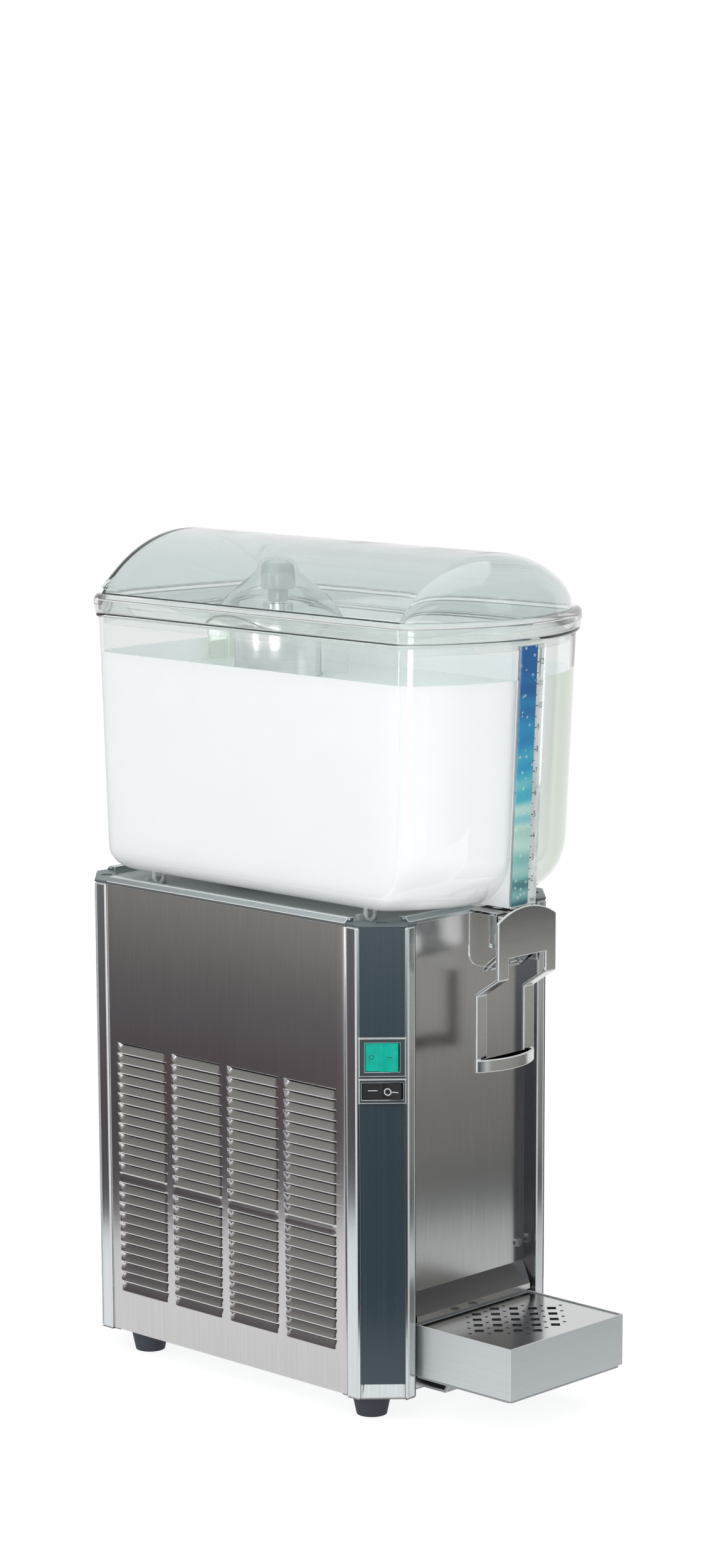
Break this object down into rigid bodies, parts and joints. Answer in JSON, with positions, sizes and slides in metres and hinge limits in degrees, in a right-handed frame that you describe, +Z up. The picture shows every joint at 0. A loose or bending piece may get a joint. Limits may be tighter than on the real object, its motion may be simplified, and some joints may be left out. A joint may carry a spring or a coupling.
{
  "type": "juice dispenser",
  "caption": "Chilled drink dispenser with a clear lidded bowl on a louvred steel cabinet, a lever tap and a perforated drip tray.",
  "frame": {"origin": "on the ground under the middle of the whole outline, drip tray included", "axes": "+X to the right of a person facing the front, front towards -Y, +Z up"},
  "size_m": [0.214, 0.442, 0.6695],
  "materials": {
    "panel_steel": "brushed stainless sheet, vertical grain",
    "bright_steel": "satin stainless steel",
    "fastener_steel": "plain steel screws",
    "coated_sheet": "grey coated sheet",
    "extrusion": "pale satin anodised",
    "slate_plastic": "slate grey, satin",
    "black_plastic": "black, fine satin",
    "green_plastic": "lit green, glossy",
    "clear_plastic": "clear moulded plastic",
    "milky_plastic": "translucent white",
    "gauge_plastic": "clear plate with a printed scale",
    "soft_rubber": "matte dark rubber",
    "black_paint": "black enamel",
    "copper": "drawn copper tube",
    "fin_alloy": "plain fins on tubes"
  },
  "bodies": {
    "cabinet": {"side_panel_left": "panel_steel", "side_panel_right": "panel_steel", "front_panel": "panel_steel", "evaporator": "bright_steel", "foot_screws": "fastener_steel", "front_panel_screws": "fastener_steel", "base_pan": "coated_sheet", "tray_bracket": "coated_sheet", "rear_panel": "coated_sheet", "fan_bracket": "coated_sheet", "post_front_left": "extrusion", "post_front_right": "extrusion", "post_rear_left": "extrusion", "post_rear_right": "extrusion", "rail_left": "extrusion", "rail_right": "extrusion", "rail_front": "extrusion", "rail_rear": "extrusion", "deck": "slate_plastic", "insert_left": "slate_plastic", "insert_right": "slate_plastic", "cap_front_left": "slate_plastic", "cap_front_right": "slate_plastic", "cap_rear_left": "slate_plastic", "cap_rear_right": "slate_plastic", "power_switch_body": "black_plastic", "mixer_switch_body": "black_plastic", "cable_gland": "black_plastic", "control_box": "black_plastic", "thermostat": "black_plastic", "foot_front_left": "soft_rubber", "foot_front_right": "soft_rubber", "foot_rear_left": "soft_rubber", "foot_rear_right": "soft_rubber", "bowl_gasket": "soft_rubber", "compressor_mounts": "soft_rubber", "compressor": "black_paint", "drive_motor": "black_paint", "fan_motor": "black_paint", "suction_pipe": "copper", "filter_drier": "copper", "condenser": "fin_alloy"},
    "bowl": {"bowl": "clear_plastic", "gauge_plate": "gauge_plastic", "tap_housing": "clear_plastic", "lever_pin": "bright_steel", "tap_spring": "bright_steel"},
    "lid": {"lid": "clear_plastic"},
    "lever": {"lever": "bright_steel"},
    "plunger": {"plunger": "milky_plastic"},
    "agitator": {"agitator": "clear_plastic", "drive_shaft": "bright_steel"},
    "fan": {"fan": "black_plastic"},
    "power_rocker": {"power_rocker": "green_plastic"},
    "mixer_rocker": {"mixer_rocker": "black_plastic"},
    "tray": {"tray_shell": "bright_steel", "tray_pan": "milky_plastic"},
    "grille": {"tray_grille": "bright_steel"}
  },
  "joints": [
    {"name": "bowl_lift", "type": "slide", "parent": "cabinet", "child": "bowl", "axis": [0, 0, 1], "range_m": [0, 0.04]},
    {"name": "lid_lift", "type": "slide", "parent": "bowl", "child": "lid", "axis": [0, 0, 1], "range_m": [0, 0.06]},
    {"name": "tap_lever", "type": "hinge", "parent": "bowl", "child": "lever", "pos_m": [0, -0.1705, 0.3692], "axis": [1, 0, 0], "range_deg": [0, 20], "stiffness_Nm_per_rad": 0.6, "springref_deg": -6.88},
    {"name": "tap_plunger", "type": "slide", "parent": "bowl", "child": "plunger", "axis": [0, 0, 1], "range_m": [0, 0.0073], "deforming": ["tap_spring"]},
    {"name": "agitator_spin", "type": "hinge", "parent": "cabinet", "child": "agitator", "pos_m": [0, 0.0875, 0.5], "axis": [0, 0, 1], "continuous": true},
    {"name": "fan_spin", "type": "hinge", "parent": "cabinet", "child": "fan", "pos_m": [-0.05, 0.0955, 0.0955], "axis": [1, 0, 0], "continuous": true},
    {"name": "power_rock", "type": "hinge", "parent": "cabinet", "child": "power_rocker", "pos_m": [-0.09204, -0.11204, 0.2915], "axis": [0, 0, 1], "range_deg": [0, 16]},
    {"name": "mixer_rock", "type": "hinge", "parent": "cabinet", "child": "mixer_rocker", "pos_m": [-0.09204, -0.11204, 0.265], "axis": [0, 0, 1], "range_deg": [0, 16]},
    {"name": "tray_pull", "type": "slide", "parent": "cabinet", "child": "tray", "axis": [0, -1, 0], "range_m": [0, 0.06]},
    {"name": "grille_lift", "type": "slide", "parent": "tray", "child": "grille", "axis": [0, 0, 1], "range_m": [0, 0.03]}
  ],
  "couplings": [
    {"joint": "tap_plunger", "follows": "tap_lever", "m_per_rad": 0.0205}
  ]
}
